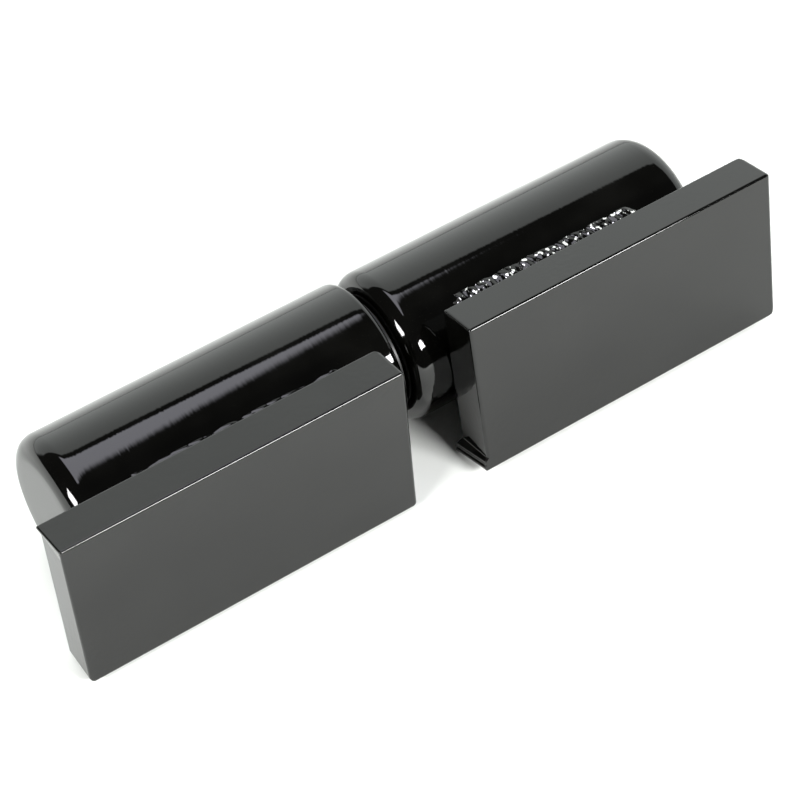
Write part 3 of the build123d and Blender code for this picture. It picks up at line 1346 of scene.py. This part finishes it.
@dataclass(frozen=True)
class SoftBox:
    """A rectangular studio lamp that faces the hinge."""

    name: str
    towards: tuple[float, float, float]
    distance: float
    size: tuple[float, float]
    radiance: float
    mirrored: bool = True

    def build(self, aim: Vector) -> bpy.types.Object:
        """Hangs the lamp.

        Args:
            aim: the point that it faces.

        Returns:
            The lamp.
        """
        data = bpy.data.lights.new(self.name, "AREA")
        data.shape = "RECTANGLE"
        data.size, data.size_y = self.size
        data.energy = self.radiance * math.pi * self.size[0] * self.size[1]
        lamp = bpy.data.objects.new(self.name, data)
        direction = Vector(self.towards).normalized()
        lamp.location = aim + direction * self.distance
        lamp.rotation_euler = direction.to_track_quat("Z", "Y").to_euler()
        lamp.visible_glossy = self.mirrored
        bpy.context.scene.collection.objects.link(lamp)
        return lamp


@dataclass
class Studio:
    """A pale floor, a softly lit room and a camera."""

    joint: Vector
    floor_size: float = 9.0
    floor_shade: float = 0.90
    azimuth: float = -34.8
    elevation: float = 49.7
    distance: float = 0.727
    lens: float = 114.98
    aim_offset: tuple[float, float, float] = (2.7 * MM, -11.8 * MM, -10.6 * MM)
    ambient: float = 0.05
    panels: tuple[SkyPanel, ...] = (
        SkyPanel(1.25, WALL_TINT, (WALL_TOP, WALL_LEFT)),
        SkyPanel(0.35, WALL_TINT, (replace(WALL_TOP, fade_to=0.60), WALL_LEFT)),
        SkyPanel(
            3.1,
            CEILING_TINT,
            (
                Edge((-0.553, -0.659, 0.507), -0.01, 0.02),
                Edge((-0.853, 0.466, 0.233), -0.03, 0.05),
                Edge((1.0, 0.0, -0.04), -0.01, 0.01),
                Edge((0.0, 1.0, 0.20), -0.03, 0.03),
            ),
        ),
    )
    lamps: tuple[SoftBox, ...] = (
        SoftBox("left_lamp", (-0.85, -0.20, 0.45), 1.3, (0.50, 0.42), 28.0),
        SoftBox("right_lamp", (0.33, -0.80, 0.50), 1.1, (0.48, 0.20), 55.0),
        SoftBox("back_lamp", (-0.10, 0.75, 0.65), 1.5, (1.20, 0.80), 4.5, False),
    )

    def build(self) -> None:
        """Sets up the whole studio."""
        self.build_floor()
        self.build_world()
        for lamp in self.lamps:
            lamp.build(self.joint)
        self.build_camera()
        bpy.context.scene.view_settings.view_transform = "Standard"

    def build_floor(self) -> None:
        """Lays a pale matt floor with a barely mottled surface."""
        half = self.floor_size / 2
        corners = [Vector((half * x, half * y, 0.0)) for x, y in ((-1, -1), (1, -1), (1, 1), (-1, 1))]
        floor = new_piece("studio_floor", corners, [(0, 1, 2, 3)])
        material, graph, shader = start_material("studio_paper")
        place = graph.add("ShaderNodeTexCoord").outputs["Object"]
        clouds = graph.noise(place, 30.0, 3.0)
        tone = graph.steps(clouds, 0.3, 0.7, self.floor_shade - 0.01, self.floor_shade + 0.01)
        paper = graph.scaled(PAPER_TINT, tone)
        graph.feed(shader.inputs["Base Color"], paper)
        shader.inputs["Roughness"].default_value = 0.9
        shader.inputs["Specular IOR Level"].default_value = 0.0
        floor.data.materials.append(material)

    def build_world(self) -> None:
        """Lights the room: the camera sees plain white, and everything else sees the sky panels."""
        world = bpy.data.worlds.new("studio_room")
        world.use_nodes = True
        graph = Graph(world.node_tree)
        direction = graph.add("ShaderNodeTexCoord").outputs["Generated"]
        glow = graph.add("ShaderNodeCombineXYZ", dict.fromkeys("XYZ", self.ambient)).outputs[0]
        for panel in self.panels:
            mask: Any = 1.0
            for edge in panel.edges:
                height = graph.vector("DOT_PRODUCT", direction, edge.normal)
                mask = graph.math("MULTIPLY", mask, graph.steps(height, edge.fade_from, edge.fade_to))
            color = tuple(panel.radiance * part for part in panel.tint)
            glow = graph.vector("ADD", glow, graph.scaled(color, mask))
        room = graph.add("ShaderNodeBackground", {"Color": glow, "Strength": 1.0})
        plain = graph.add("ShaderNodeBackground", {"Color": (1.0, 1.0, 1.0, 1.0), "Strength": 1.0})
        seen = graph.add("ShaderNodeLightPath").outputs["Is Camera Ray"]
        both = graph.add("ShaderNodeMixShader", {0: seen, 1: room.outputs[0], 2: plain.outputs[0]})
        graph.add("ShaderNodeOutputWorld", {"Surface": both.outputs[0]})
        bpy.context.scene.world = world

    def build_camera(self) -> None:
        """Places the camera on its angle, aimed a little in front of the joint."""
        azimuth, elevation = math.radians(self.azimuth), math.radians(self.elevation)
        level = math.cos(elevation)
        back = Vector((level * math.sin(azimuth), -level * math.cos(azimuth), math.sin(elevation)))
        data = bpy.data.cameras.new("camera")
        data.lens = self.lens
        data.clip_start, data.clip_end = 0.01, 50.0
        camera = bpy.data.objects.new("camera", data)
        camera.location = self.joint + Vector(self.aim_offset) + back * self.distance
        camera.rotation_euler = back.to_track_quat("Z", "Y").to_euler()
        bpy.context.scene.collection.objects.link(camera)
        bpy.context.scene.camera = camera


def main() -> None:
    """Builds the hinge around its frame, then the studio."""
    logging.basicConfig(level=logging.INFO, format="%(name)s: %(message)s")
    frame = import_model()
    shop = PaintShop()
    shop.dress_nodes(frame["nodes"])
    bead_tree = build_bead_tree()
    frame_side = Leaf.read(frame, Side.FRAME)
    gate_side = Leaf.read(frame, Side.GATE)
    leaves = (
        LeafAssembly(
            leaf=frame_side,
            corners=sheared_ends(FRAME_LIP, 4.0 * MM, 1.6 * MM),
            style=STEADY_HAND,
            toe_angle=49.0,
            bead_crown=0.5 * MM,
            plate_leg=9.6 * MM,
            inner_round=2.0 * MM,
            bore=frame_bore(),
        ),
        LeafAssembly(
            leaf=gate_side,
            corners=sheared_ends(GATE_LIP, 5.0 * MM, 4.6 * MM),
            style=QUICK_HAND,
            toe_angle=52.5,
            bead_crown=1.2 * MM,
            plate_leg=10.5 * MM,
            inner_round=5.0 * MM,
            bore=gate_bore(),
        ),
    )
    for assembly in leaves:
        assembly.build(shop, bead_tree)
    joint_x = (frame_side.barrel_span[1] + gate_side.barrel_span[0]) / 2
    joint = Vector((joint_x, frame_side.axis_y, frame_side.axis_z))
    Studio(joint).build()


if __name__ == "__main__":
    main()
